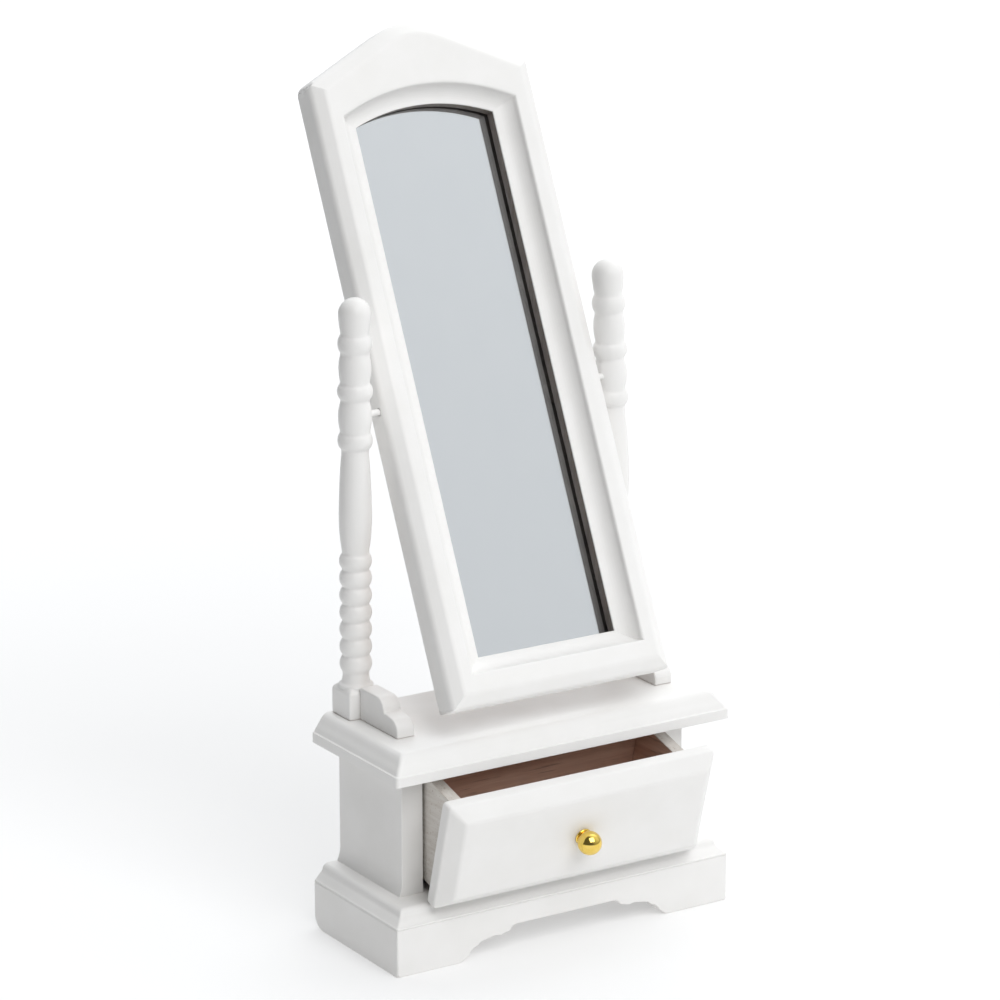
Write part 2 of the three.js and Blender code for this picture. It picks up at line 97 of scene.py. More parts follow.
def own_corners(node, placed):
    """A CAD node's lowest and highest corners in the frame that its body is drawn in."""
    back = placed.inverted()
    points = [back @ (v.co / MM) for v in nodes[node].data.vertices]
    return (
        Vector([min(p[i] for p in points) for i in range(3)]),
        Vector([max(p[i] for p in points) for i in range(3)]),
    )


# ---- Node materials ----------------------------------------------------------------------

NOISE_RANGE = (0.3, 0.7)        # where nearly all of a noise texture's values lie
MASK_SAMPLES = 6                # rays that feel for an edge or a crevice
EDGE_AGREEMENT = (0.995, 0.9)   # of the true and the bevelled normal: off an edge, and on one
CREVICE_OPENNESS = (0.75, 0.25)     # outside a crevice, and deep in one
ALONG_BRUSH = 0.09              # how much slower brush streaks change along than across
ALONG_GRAIN = 0.05              # the same for wood grain


class Material:
    """A Principled material and short ways to add nodes to it."""

    def __init__(self, name, **sockets):
        self.material = bpy.data.materials.new(name)
        self.material.use_nodes = True
        self.tree = self.material.node_tree
        self.shader = self.tree.nodes["Principled BSDF"]
        for socket, value in sockets.items():
            self.shader.inputs[socket.replace("_", " ")].default_value = value
        self.place = self.add("ShaderNodeTexCoord").outputs["Object"]

    def add(self, kind, inputs=None, **settings):
        node = self.tree.nodes.new(kind)
        for key, value in settings.items():
            setattr(node, key, value)
        for key, value in (inputs or {}).items():
            self.feed(node.inputs[key], value)
        return node

    def feed(self, socket, value):
        if isinstance(value, bpy.types.NodeSocket):
            self.tree.links.new(value, socket)
        else:
            socket.default_value = value

    def stretched(self, scale):
        """Object coordinates scaled by axis, so that a texture can run along one of them."""
        mapping = self.add("ShaderNodeMapping", {"Vector": self.place, "Scale": scale})
        return mapping.outputs["Vector"]

    def noise(self, scale, detail, place=None, roughness=0.5):
        """Noise with a given number of features per metre."""
        inputs = {"Vector": place or self.place, "Scale": scale, "Detail": detail,
                  "Roughness": roughness}
        return self.add("ShaderNodeTexNoise", inputs).outputs[0]

    def between(self, value, low, high, to_low=0.0, to_high=1.0):
        """A value carried from one range to another, and held at its ends."""
        inputs = {"Value": value, "From Min": low, "From Max": high,
                  "To Min": to_low, "To Max": to_high}
        return self.add("ShaderNodeMapRange", inputs).outputs["Result"]

    def spread(self, noise, to_low=0.0, to_high=1.0):
        """A noise's usual range carried to another range."""
        return self.between(noise, *NOISE_RANGE, to_low, to_high)

    def math(self, operation, a, b):
        return self.add("ShaderNodeMath", {0: a, 1: b}, operation=operation).outputs[0]

    def mix(self, factor, a, b):
        node = self.add("ShaderNodeMix", data_type="RGBA")
        self.feed(node.inputs[0], factor)
        self.feed(node.inputs[6], a)
        self.feed(node.inputs[7], b)
        return node.outputs[2]

    def surface(self, base, roughness):
        """Links the shader's colour and roughness."""
        self.feed(self.shader.inputs["Base Color"], base)
        self.feed(self.shader.inputs["Roughness"], roughness)

    def bump(self, height, distance, strength):
        """Raises the surface by up to a distance in millimetres, in its shading only."""
        inputs = {"Height": height, "Distance": distance * MM, "Strength": strength}
        bumped = self.add("ShaderNodeBump", inputs)
        self.feed(self.shader.inputs["Normal"], bumped.outputs["Normal"])

    def edges(self, radius):
        """1 near an edge that is sharper than the radius, and 0 on flat stretches."""
        bevel = self.add("ShaderNodeBevel", {"Radius": radius * MM}, samples=MASK_SAMPLES)
        true = self.add("ShaderNodeNewGeometry").outputs["Normal"]
        inputs = {0: bevel.outputs["Normal"], 1: true}
        agreement = self.add("ShaderNodeVectorMath", inputs, operation="DOT_PRODUCT")
        return self.between(agreement.outputs["Value"], *EDGE_AGREEMENT)

    def crevices(self, distance):
        """1 deep in an inner corner, and 0 in the open, found by ambient occlusion; it places
        painted shade.
        """
        inputs = {"Distance": distance * MM}
        openness = self.add("ShaderNodeAmbientOcclusion", inputs, samples=MASK_SAMPLES)
        return self.between(openness.outputs["AO"], *CREVICE_OPENNESS)


def colour(red, green, blue):
    return (red, green, blue, 1.0)


def dimmed(tone, factor):
    return colour(*[part * factor for part in tone[:3]])


PAINT_IOR = 1.46
PAINT = colour(0.905, 0.895, 0.88)
PAINT_SHADED = colour(0.88, 0.87, 0.85)
PAINT_WORN = colour(0.52, 0.46, 0.41)
# The grey brown of the painted shade in inner corners.
CORNER_SHADE = colour(0.46, 0.36, 0.31)


def white_paint(name, grain, wear, shade):
    """Satin white paint, brushed along the grain, with painted shade in its inner corners, and
    rubbed on its edges.

    wear is how much of the rubbing shows. shade darkens the whole coat."""
    m = Material(name, IOR=PAINT_IOR)
    along = [ALONG_BRUSH if axis == grain else 1.0 for axis in "XYZ"]
    streaks = m.noise(1900.0, 3.0, m.stretched(along))
    mottle = m.noise(160.0, 3.0)
    fine = m.noise(5200.0, 2.0)
    base = m.mix(m.between(mottle, 0.35, 0.75), dimmed(PAINT, shade), dimmed(PAINT_SHADED, shade))
    if wear:
        rubbed = m.math("MULTIPLY", m.edges(0.35), m.between(m.noise(420.0, 4.0), 0.52, 0.72))
        base = m.mix(m.math("MULTIPLY", rubbed, wear), base, PAINT_WORN)
    # Painted shade: inner corners found by ambient occlusion are mixed towards a grey brown.
    brown_mix = m.math("MULTIPLY", m.crevices(0.3), m.spread(m.noise(260.0, 3.0), 0.15, 1.0))
    base = m.mix(m.math("MULTIPLY", brown_mix, 0.4), base, CORNER_SHADE)
    m.surface(base, m.between(m.math("ADD", streaks, mottle), 0.6, 1.4, 0.34, 0.5))
    height = m.math("ADD", m.math("MULTIPLY", streaks, 0.7), m.math("MULTIPLY", fine, 0.18))
    m.bump(height, 0.03, 0.5)
    return m.material


def plain_wood(name, grain, dark, light, roughness=0.7):
    """Unpainted wood with growth rings, pores and fine fibres along one axis."""
    m = Material(name)
    along = [ALONG_GRAIN if axis == grain else 1.0 for axis in "XYZ"]
    rings = m.noise(520.0, 4.0, m.stretched(along), 0.6)
    fibres = m.noise(5200.0, 3.0, m.stretched(along))
    pores = m.between(m.noise(2600.0, 2.0, m.stretched(along)), 0.62, 0.72)
    base = m.mix(m.spread(rings), dark, light)
    base = m.mix(m.math("MULTIPLY", m.spread(fibres), 0.35), base, dark)
    base = m.mix(m.math("MULTIPLY", pores, 0.55), base, dimmed(dark, 0.45))
    m.surface(base, m.spread(fibres, roughness - 0.1, roughness + 0.12))
    raised = m.math("ADD", fibres, m.math("MULTIPLY", rings, 0.6))
    m.bump(m.math("SUBTRACT", raised, pores), 0.05, 0.6)
    return m.material


BOARD_DARK = colour(0.20, 0.12, 0.075)
BOARD_LIGHT = colour(0.33, 0.215, 0.145)
BOARD_FLECK = colour(0.42, 0.30, 0.21)


def backing_board(name):
    """Thin brown hardboard, with fibres lying every way."""
    m = Material(name)
    clumps = m.noise(700.0, 4.0)
    flecks = m.noise(3600.0, 3.0, m.stretched((1.0, 1.0, 0.35)))
    base = m.mix(m.spread(clumps), BOARD_DARK, BOARD_LIGHT)
    base = m.mix(m.between(flecks, 0.58, 0.72), base, BOARD_FLECK)
    m.surface(base, m.spread(flecks, 0.72, 0.92))
    m.bump(m.math("ADD", clumps, flecks), 0.06, 0.6)
    return m.material


def silvering(name):
    """The mirror's silver, with the faintest cloudiness."""
    m = Material(name, Metallic=1.0)
    cloud = m.noise(90.0, 3.0)
    base = m.mix(cloud, colour(0.915, 0.927, 0.94), colour(0.935, 0.945, 0.955))
    m.surface(base, m.spread(cloud, 0.0, 0.03))
    return m.material


def clear_glass(name):
    """Clear sheet glass, wiped but not perfectly clean."""
    m = Material(name, IOR=1.5, Transmission_Weight=1.0)
    smear = m.noise(240.0, 4.0, m.stretched((1.0, 1.0, 0.3)))
    base = m.mix(smear, colour(0.965, 0.975, 0.98), colour(0.98, 0.988, 0.99))
    m.surface(base, m.between(smear, 0.45, 0.8, 0.0, 0.035))
    return m.material


def polished_brass(name):
    """Lacquered brass with fine turning marks."""
    m = Material(name, Metallic=1.0)
    cloud = m.noise(900.0, 3.0)
    marks = m.noise(9000.0, 2.0)
    base = m.mix(m.spread(cloud), colour(0.82, 0.58, 0.11), colour(0.9, 0.66, 0.18))
    m.surface(base, m.spread(marks, 0.07, 0.16))
    m.bump(marks, 0.004, 0.4)
    return m.material


def for_grains(axes, kind, name, *settings):
    """One material for each direction that the grain can run in."""
    return {axis: kind(f"{name}_{axis.lower()}", axis, *settings) for axis in axes}


WOOD_DARK = colour(0.56, 0.345, 0.26)
WOOD_LIGHT = colour(0.84, 0.61, 0.49)
RECESS_DARK = colour(0.14, 0.115, 0.1)
RECESS_LIGHT = colour(0.25, 0.215, 0.185)
DOWEL_DARK = colour(0.48, 0.33, 0.2)
DOWEL_LIGHT = colour(0.66, 0.49, 0.32)

paint = for_grains("XYZ", white_paint, "white_paint", 0.15, 0.955)
smooth_paint = for_grains("XZ", white_paint, "smooth_white_paint", 0, 1.0)
wood = for_grains("XY", plain_wood, "brown_wood", WOOD_DARK, WOOD_LIGHT)
recess_wood = plain_wood("sealed_brown_wood", "Z", RECESS_DARK, RECESS_LIGHT, 0.4)
pale_wood = plain_wood("dowel_wood", "Z", DOWEL_DARK, DOWEL_LIGHT)
hardboard = backing_board("brown_hardboard")
silver = silvering("silvering")
glass = clear_glass("mirror_glass_sheet")
brass = polished_brass("polished_brass")

# ---- Shapes ------------------------------------------------------------------------------


def loft(rings):
    """A closed mesh through rings that all have the same number of points."""
    bm = bmesh.new()
    rows = [[bm.verts.new(p) for p in ring] for ring in rings]
    size = len(rows[0])
    for low, high in zip(rows, rows[1:]):
        for i in range(size):
            j = (i + 1) % size
            bm.faces.new((low[i], low[j], high[j], high[i]))
    bm.faces.new(reversed(rows[0]))
    bm.faces.new(rows[-1])
    return bm


def rounded(points, radii, steps=3):
    """An open line with its inner corners rounded over, each by its own radius."""
    result = [Vector(points[0])]
    for i in range(1, len(points) - 1):
        before, at, after = (Vector(points[i + k]) for k in (-1, 0, 1))
        radius = radii if isinstance(radii, (int, float)) else radii[i]
        reach = min(radius, 0.48 * (at - before).length, 0.48 * (after - at).length)
        if reach < 1e-6:
            result.append(at)
            continue
        start = at + (before - at).normalized() * reach
        end = at + (after - at).normalized() * reach
        for k in range(steps + 1):
            t = k / steps
            result.append(start * (1 - t) ** 2 + at * (2 * t * (1 - t)) + end * t ** 2)
    result.append(Vector(points[-1]))
    return result


def rounded_ring(points, radii, steps):
    """A closed outline with its corners rounded over."""
    count = len(points)
    radii = [radii] * count if isinstance(radii, (int, float)) else list(radii)
    line = [points[-1], *points, points[0]]
    return rounded(line, [0, *radii, 0], steps)[1:-1]


def smooth_line(points, steps):
    """A Catmull-Rom curve through the points."""
    points = [Vector(p) for p in points]
    ends = [points[0] * 2 - points[1], *points, points[-1] * 2 - points[-2]]
    result = []
    for i in range(1, len(ends) - 2):
        a, b, c, d = ends[i - 1:i + 3]
        for k in range(steps):
            t = k / steps
            result.append((b * 2 + (c - a) * t + (a * 2 - b * 5 + c * 4 - d) * t ** 2
                           + (b * 3 - a - c * 3 + d) * t ** 3) / 2)
    result.append(points[-1])
    return result


def flipped(point):
    return Vector((-point.x, point.y))


def arc(x, y, radius, start, end, steps):
    """Points on a circle from one angle to another, in degrees."""
    angles = [math.radians(start + (end - start) * i / steps) for i in range(steps + 1)]
    return [Vector((x + radius * math.cos(a), y + radius * math.sin(a))) for a in angles]


def lathe(profile, segments):
    """Turns a line of (radius, height) about Z. Its ends close on small flats."""
    rings = []
    for radius, height in profile:
        ring = arc(0, 0, max(radius, 0.03), 0, 360, segments)[:-1]
        rings.append([(p.x, p.y, height) for p in ring])
    return loft(rings)


def block(low, high):
    """A rectangular board between two corners, before its edges are rounded."""
    outline = [(low.x, low.y), (high.x, low.y), (high.x, high.y), (low.x, high.y)]
    return loft([[(x, y, z) for x, y in outline] for z in (low.z, high.z)])


def soften(bm, radius, segments=3, angle=30):
    """Rounds the edges that turn by more than an angle."""
    bmesh.ops.recalc_face_normals(bm, faces=bm.faces)
    limit = math.radians(angle)
    sharp = [e for e in bm.edges if len(e.link_faces) == 2 and e.calc_face_angle() > limit]
    bmesh.ops.bevel(bm, geom=sharp, offset=radius, offset_type="OFFSET", segments=segments,
                    profile=0.5, affect="EDGES", clamp_overlap=True)
    return bm


def make(name, bm, body, materials, stands_for, placed=UPRIGHT, choose=None):
    """Turns a drawn shape into a piece that rides on a body and stands for CAD nodes.

    choose gives a face's material by its number, from the face as it was drawn."""
    bmesh.ops.recalc_face_normals(bm, faces=bm.faces)
    for edge in bm.edges:
        edge.smooth = edge.calc_face_angle(0) < math.radians(SHARP_ANGLE)
    for face in bm.faces:
        face.smooth = True
        if choose:
            face.material_index = choose(face)
    bm.transform(Matrix.Scale(MM, 4) @ placed)
    mesh = bpy.data.meshes.new(name)
    bm.to_mesh(mesh)
    bm.free()
    piece = bpy.data.objects.new(name, mesh)
    bpy.context.scene.collection.objects.link(piece)
    for material in materials:
        mesh.materials.append(material)
    even = piece.modifiers.new("even shading", "WEIGHTED_NORMAL")
    even.keep_sharp = True
    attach(piece, body)
    if stands_for:
        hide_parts(*stands_for)
    return piece


def combine(piece, tool_bm, operation, placed):
    """Joins a shape to a piece, or cuts it out of the piece."""
    bmesh.ops.recalc_face_normals(tool_bm, faces=tool_bm.faces)
    for face in tool_bm.faces:
        face.smooth = True
    tool_bm.transform(Matrix.Scale(MM, 4) @ placed)
    mesh = bpy.data.meshes.new("tool")
    tool_bm.to_mesh(mesh)
    tool_bm.free()
    tool = bpy.data.objects.new("tool", mesh)
    bpy.context.scene.collection.objects.link(tool)
    change = piece.modifiers.new("combine", "BOOLEAN")
    change.operation = operation
    change.solver = "EXACT"
    change.object = tool
    piece.modifiers.move(len(piece.modifiers) - 1, 0)
    bpy.context.view_layer.objects.active = piece
    bpy.context.view_layer.update()
    with bpy.context.temp_override(object=piece, active_object=piece, selected_objects=[piece]):
        bpy.ops.object.modifier_apply(modifier=change.name)
    bpy.data.objects.remove(tool)
    bpy.data.meshes.remove(mesh)


# ---- Plinth ------------------------------------------------------------------------------

base_low, base_high = corners("base_board")
apron_low, apron_high = corners("apron_front")
case_low, case_high = corners("case_side_left")
board_low, board_high = corners("top_board")
plinth_centre = Vector(((base_low.x + base_high.x) / 2, (base_low.y + base_high.y) / 2, 0))


ARCH_HEIGHT = 4.65          # the straight middle of the front apron's arch
ARCH_HALF_WIDTH = 9.6
FRONT_CORNER = 0.9          # radius of the front apron's lower corners
END_FRONT_CORNER = 0.6      # radius of the end aprons' lower front corners
END_BACK_CORNER = 2.6       # radius of the end aprons' lower rear corners


def apron_edge(half):
    """Half of the front apron's lower edge, from the middle to the outer corner."""
    line = [Vector((0, ARCH_HEIGHT)), Vector((ARCH_HALF_WIDTH, ARCH_HEIGHT))]
    line += arc(ARCH_HALF_WIDTH, 3.05, 1.6, 80, 25, 6)
    line += arc(13.9, 1.3, 2.15, 115, 75, 6)
    line.append(Vector((16.7, 2.95)))
    line += arc(16.9, 0.1, 2.35, 78, 25, 8)
    line += rounded([(19.6, 0.6), (20.6, 0), (half - 2, 0)], 0.5)
    line += arc(half - FRONT_CORNER, FRONT_CORNER, FRONT_CORNER, -90, 0, 6)[1:]
    return line


def apron_board(lower_edge, ends, top, thickness):
    """A board with a shaped lower edge, drawn along X with its face at Y = 0.

    An end is a mitre, which turns a round corner to meet its neighbour, or is sawn square."""
    quarter = CORNER_RADIUS * (1 - math.cos(math.radians(45)))
    depths = [quarter * i / 4 for i in range(5)] + [EDGE_RADIUS, thickness]
    rings = []
    for depth in depths:
        ease = max(0.0, EDGE_RADIUS - depth)
        lift = EDGE_RADIUS - math.sqrt(max(0.0, EDGE_RADIUS ** 2 - ease ** 2))
        limits = []
        for end in ends:
            if end == "square":
                limits.append(lift)
            elif depth <= quarter:
                across = math.sqrt(CORNER_RADIUS ** 2 - (CORNER_RADIUS - depth) ** 2)
                limits.append(CORNER_RADIUS - across)
            else:
                limits.append(depth)
        bounds = (lower_edge[0].x + limits[0], lower_edge[-1].x - limits[1])
        outline = [Vector((bounds[0], top - lift))]
        outline += [Vector((min(max(p.x, bounds[0]), bounds[1]), p.y + lift)) for p in lower_edge]
        outline.append(Vector((bounds[1], top - lift)))
        rings.append([(p.x, depth, p.y) for p in outline])
    return loft(rings)


def add_plinth():
    half = (apron_high.x - apron_low.x) / 2
    thickness = apron_high.y - apron_low.y
    edge = apron_edge(half)
    whole = [flipped(p) for p in reversed(edge[1:])] + edge
    front = Matrix.Translation((0, apron_low.y, 0))
    board = apron_board(whole, ("mitre", "mitre"), apron_high.z, thickness)
    make("apron_front_board", board, "stand", [paint["X"]], ["apron_front"], front)
    low, high = corners("apron_left")
    depth = high.y - low.y
    right = arc(END_FRONT_CORNER, END_FRONT_CORNER, END_FRONT_CORNER, 180, 270, 4)
    right += [Vector((depth / 2, 0))]
    right += arc(depth - END_BACK_CORNER, END_BACK_CORNER, END_BACK_CORNER, -90, 0, 8)
    left = [Vector((depth - p.x, p.y)) for p in reversed(right)]
    for name, turn, x, y, line, ends in (
        ("left", -90, low.x, high.y, left, ("square", "mitre")),
        ("right", 90, -low.x, low.y, right, ("mitre", "square")),
    ):
        placed = Matrix.Translation((x, y, 0)) @ Matrix.Rotation(math.radians(turn), 4, "Z")
        board = apron_board(line, ends, high.z, thickness)
        make(f"apron_{name}_board", board, "stand", [paint["Y"]],
             [f"apron_{name}"], placed)
    low, high = corners("apron_back")
    board = soften(block(low, high), EDGE_RADIUS)
    make("apron_back_board", board, "stand", [paint["X"]], ["apron_back"])


STEP_RADIUS = 0.3           # each step of a moulding is rounded by this
TOP_CORNER = 0.6            # the top board's front corners, in plan
REAR_CORNER = 0.3           # both boards' rear corners, in plan


def moulded_board(low, high, steps, corner):
    """A board moulded on its front and both ends, from (height, inset) steps up its edge."""
    profile = rounded([(low.z, 0.25), *steps, (high.z, steps[-1][1] + 1.5)], STEP_RADIUS, 4)
    rings = []
    for p in profile:
        z, inset = min(p.x, high.z), p.y
        outline = [(low.x + inset, low.y + inset), (high.x - inset, low.y + inset),
                   (high.x - inset, high.y), (low.x + inset, high.y)]
        ring = rounded_ring(outline, [corner, corner, REAR_CORNER, REAR_CORNER], 4)
        rings.append([(q.x, q.y, z) for q in ring])
    return loft(rings)


def add_boards():
    """The plinth's moulded top and the case's: a square edge, a quirk, a hollow and a round."""
    z, top = base_low.z, base_high.z
    steps = [(z, 0), (z + 0.35, 0), (z + 0.45, 0.22), (top - 1.6, 1.0), (top - 1.25, 1.4),
             (top - 0.4, 1.65), (top, 2.2)]
    board = moulded_board(base_low, base_high, steps, CORNER_RADIUS)
    make("base_moulding", board, "stand", [paint["X"]], ["base_board"])
    z, top = board_low.z, board_high.z
    steps = [(z, 0), (z + 1.75, 0), (z + 1.85, 0.28), (z + 2.6, 0.72), (z + 3.3, 1.25),
             (top - 0.75, 1.75), (top - 0.35, 2.1), (top, 2.65)]
    board = moulded_board(board_low, board_high, steps, TOP_CORNER)
    make("top_moulding", board, "stand", [paint["X"]], ["top_board"])


# ---- Case --------------------------------------------------------------------------------


HOLLOW_SPREAD = 0.6
HOLLOW_HEIGHT = 2.3
HOLLOW_LEVELS = (0, 0.1, 0.25, 0.45, 0.7, 1)    # parts of its height
HOLLOW_AT_EDGES = 0.3       # how much of the hollow runs round onto the front


def case_side(side):
    """An upright board whose foot spreads in a small hollow where it meets the base."""
    low, high = corners(f"case_side_{side}")
    levels = [(t * HOLLOW_HEIGHT, HOLLOW_SPREAD * (1 - math.sin(math.radians(90 * t))))
              for t in HOLLOW_LEVELS]
    levels.append((high.z - low.z, 0))
    rings = []
    for height, grow in levels:
        x0 = low.x - (grow if side == "left" else 0)
        x1 = high.x + (grow if side == "right" else 0)
        front = low.y - grow * HOLLOW_AT_EDGES
        outline = [(x0, front), (x1, front), (x1, high.y), (x0, high.y)]
        ring = rounded_ring(outline, EDGE_RADIUS, 4)
        rings.append([(q.x, q.y, low.z + height) for q in ring])
    return loft(rings)


def add_case():
    for side in ("left", "right"):
        make(f"case_{side}_board", case_side(side), "stand", [paint["Z"]],
             [f"case_side_{side}"])
    board = soften(block(*corners("case_back")), 0.1)
    make("case_back_board", board, "stand", [paint["X"]], ["case_back"])


# ---- Posts -------------------------------------------------------------------------------

POST_SEGMENTS = 44
FOOT_WIDTH = 6.0
FOOT_HEIGHT = 5.3
FULL_RING = 12              # fewest corners of a level of the CAD post that is a whole turned ring
PIN_SEGMENTS = 32
PIN_CHAMFER = 0.2


def turned_profile(node, shaft):
    """The (radius, height) of each whole ring of the CAD post, above the top of its foot."""
    back = shaft.inverted()
    points = sorted((back @ (v.co / MM) for v in nodes[node].data.vertices), key=lambda p: p.z)
    levels = []
    for p in points:
        if p.z < 0.1:
            continue
        if not levels or p.z - levels[-1][0] > 0.05:
            levels.append((p.z, {}))
        levels[-1][1][round(math.degrees(math.atan2(p.y, p.x)))] = math.hypot(p.x, p.y)
    whole = [(max(ring.values()), z) for z, ring in levels if len(ring) >= FULL_RING]
    return whole + [(0.0, levels[-1][0])]


def add_post(side):
    """A post: a square foot with a chamfered top, joined to a turned shaft, and its pin."""
    node = f"post_{side}"
    low, high = corners(f"post_dowel_{side}")
    foot_top = Vector(((low.x + high.x) / 2, (low.y + high.y) / 2, board_high.z + FOOT_HEIGHT))
    inward = 1 if side == "left" else -1
    shaft = (Matrix.Translation(foot_top)
             @ Matrix.Rotation(math.radians(inward * POST_LEAN_IN[side]), 4, "Y")
             @ Matrix.Rotation(math.radians(-POST_LEAN_BACK[side]), 4, "X"))
    foot = rounded([(0.15, -FOOT_HEIGHT), (0, 0.2 - FOOT_HEIGHT), (0, -0.75), (0.75, 0),
                    (2.0, 0.25)], 0.4, 3)
    rings = []
    for inset, z in foot:
        half = FOOT_WIDTH / 2 - inset
        outline = [(-half, -half), (half, -half), (half, half), (-half, half)]
        rings.append([(q.x, q.y, z) for q in rounded_ring(outline, 0.45, 4)])
    profile = smooth_line([(2.2, -1.5), (2.95, -0.1), *turned_profile(node, shaft)], 3)
    piece = make(f"turned_post_{side}", loft(rings), "stand", [smooth_paint["Z"]],
                 [node], Matrix.Translation(foot_top))
    combine(piece, lathe(profile, POST_SEGMENTS), "UNION", shaft)
    low, high = corners(f"pivot_pin_{side}")
    end = Matrix.Translation((low.x, (low.y + high.y) / 2, (low.z + high.z) / 2))
    make(f"pivot_wire_{side}", pin(high.x - low.x, (high.z - low.z) / 2), "stand",
         [smooth_paint["X"]], [f"pivot_pin_{side}"], end)


def pin(length, radius):
    """A round pin along X with chamfered ends."""
    bm = lathe([(radius - PIN_CHAMFER, 0), (radius, PIN_CHAMFER),
                (radius, length - PIN_CHAMFER), (radius - PIN_CHAMFER, length)], PIN_SEGMENTS)
    bm.transform(Matrix.Rotation(math.radians(90), 4, "Y"))
    return bm


def bracket(side):
    """A post's bracket: a flat top rounded over at the front, a step, and a lower lobe."""
    low, high = corners(f"bracket_{side}")
    back = high.y
    z = low.z
    line = [Vector((back, z)), Vector((back, z + 5.6))]
    line += arc(back - 5.4, z + 3.4, 2.2, 90, 172, 12)
    line += rounded([(back - 7.65, z + 3.5), (back - 7.8, z + 3.32), (back - 8.4, z + 3.26)], 0.2)
    line += arc(back - 9.8, z + 0.9, 2.15, 97, 172, 12)
    line.append(Vector((low.y, z)))
    rings = [[(x, p.x, p.y) for p in line] for x in (low.x, high.x)]
    return soften(loft(rings), 0.3, 3, 60)


def add_posts():
    """Both posts with their brackets. The hidden dowels keep their CAD shapes."""
    for side in ("left", "right"):
        add_post(side)
        make(f"post_bracket_{side}", bracket(side), "stand", [paint["Y"]],
             [f"bracket_{side}"])
        dowel = nodes[f"post_dowel_{side}"]
        dowel.data.materials.clear()
        dowel.data.materials.append(pale_wood)


# ---- Mirror ------------------------------------------------------------------------------
# Drawn upright about its pivot: X to the right, Z up, and the face towards -Y. Depths are
# counted forward from the sight edge, the frame's inner edge in front of the glass.

FRAME_HALF_WIDTH = 21.4
FRAME_BOTTOM = -50.8
FRAME_SHOULDER = 55.5
FRAME_SLOPE = math.radians(25.5)
FRAME_CROWN_RADIUS = 14
FRAME_BACK = -2.9
FRAME_SIDE_FRONT = 1.4
FRAME_FACE = 2.85
FRAME_BEVEL = 2.3
SIGHT_HALF_WIDTH = 13.45
SIGHT_BOTTOM = -42.7
SIGHT_APEX = 50.2
SIGHT_ARCH_RADIUS = 35.5
COVE = (3.3, 2.6, 2.85)     # width at the sides, bottom and top
REBATE = 1.3
REBATE_FRONT = -2.04
HEAD_STEPS = 48
CORNER_BOTTOM = 0.9         # radii of the frame's outer corners, seen from the front
CORNER_SHOULDER = 1.6
PANE_MARGIN = 1.0           # how far the glass reaches past the sight edge
PANE_FRONT = -2.1
PANE_BACK = -2.84
SILVER_FRONT = -2.87
SILVER_BACK = -2.92
BACKING_FRONT = -2.95
BACKING_BACK = -4.0
PIN_PLAY = 0.15


def resampled(line, count):
    """The same line through evenly spaced points."""
    lengths = [0.0]
    for a, b in zip(line, line[1:]):
        lengths.append(lengths[-1] + (b - a).length)
    result = []
    for i in range(count + 1):
        at = lengths[-1] * i / count
        k = max(j for j in range(len(line) - 1) if lengths[j] <= at + 1e-9)
        t = (at - lengths[k]) / max(lengths[k + 1] - lengths[k], 1e-9)
        result.append(line[k].lerp(line[k + 1], min(t, 1.0)))
    return result


def outer_head(inset):
    """The head's outer edge moved in, from right to left: two slopes and a round crown."""
    x = FRAME_HALF_WIDTH - inset
    shoulder = FRAME_SHOULDER + inset * math.tan(FRAME_SLOPE) - inset / math.cos(FRAME_SLOPE)
    crown = (FRAME_SHOULDER + FRAME_HALF_WIDTH * math.tan(FRAME_SLOPE)
             - FRAME_CROWN_RADIUS / math.cos(FRAME_SLOPE))
    slope = math.degrees(FRAME_SLOPE)
    top = arc(0, crown, FRAME_CROWN_RADIUS - inset, 90 - slope, 90 + slope, 24)
    return [Vector((x, shoulder)), *top, Vector((-x, shoulder))]


def outer_line(inset):
    """The frame's outer edge moved in: its bottom corner, and the evenly divided head."""
    corner = Vector((FRAME_HALF_WIDTH - inset, FRAME_BOTTOM + inset))
    return corner, resampled(outer_head(inset), HEAD_STEPS)


def sight_line(sides, bottom, top):
    """The sight edge moved out by its own distances: its bottom corner, and the arch."""
    x = SIGHT_HALF_WIDTH + sides
    radius = SIGHT_ARCH_RADIUS + top
    reach = math.degrees(math.asin(x / radius))
    arch = arc(0, SIGHT_APEX - SIGHT_ARCH_RADIUS, radius, 90 - reach, 90 + reach, HEAD_STEPS)
    return Vector((x, SIGHT_BOTTOM - bottom)), arch


def frame_profile():
    """The moulding's section as (bottom corner, head line, depth, number of its material)."""
    outer = rounded([(3.0, FRAME_BACK), (0, FRAME_BACK), (0, FRAME_SIDE_FRONT),
                     (FRAME_BEVEL, FRAME_FACE), (FRAME_BEVEL + 1.0, FRAME_FACE)],
                    [0, 0.2, 0.8, 0.9, 0], 5)
    angles = [math.radians(8 * i) for i in range(9, -1, -1)]
    cove = [(1.0, FRAME_FACE)] + [(math.sin(a), FRAME_FACE * (1 - math.cos(a))) for a in angles]
    nominal = COVE[0]
    inner = rounded([(nominal * 1.3, FRAME_FACE), *[(nominal * u, v) for u, v in cove], (0, -0.25)],
                    [0, 0.8, *[0.02] * 9, 0.12, 0], 4)
    section = [(*outer_line(inset), depth, 0) for inset, depth in outer]
    section += [(*sight_line(*[w * u / nominal for w in COVE]), depth, 0) for u, depth in inner]
    section += [(*sight_line(m, m, m), depth, 1) for m, depth in
                ((0, REBATE_FRONT), (REBATE, REBATE_FRONT), (REBATE, FRAME_BACK))]
    return section


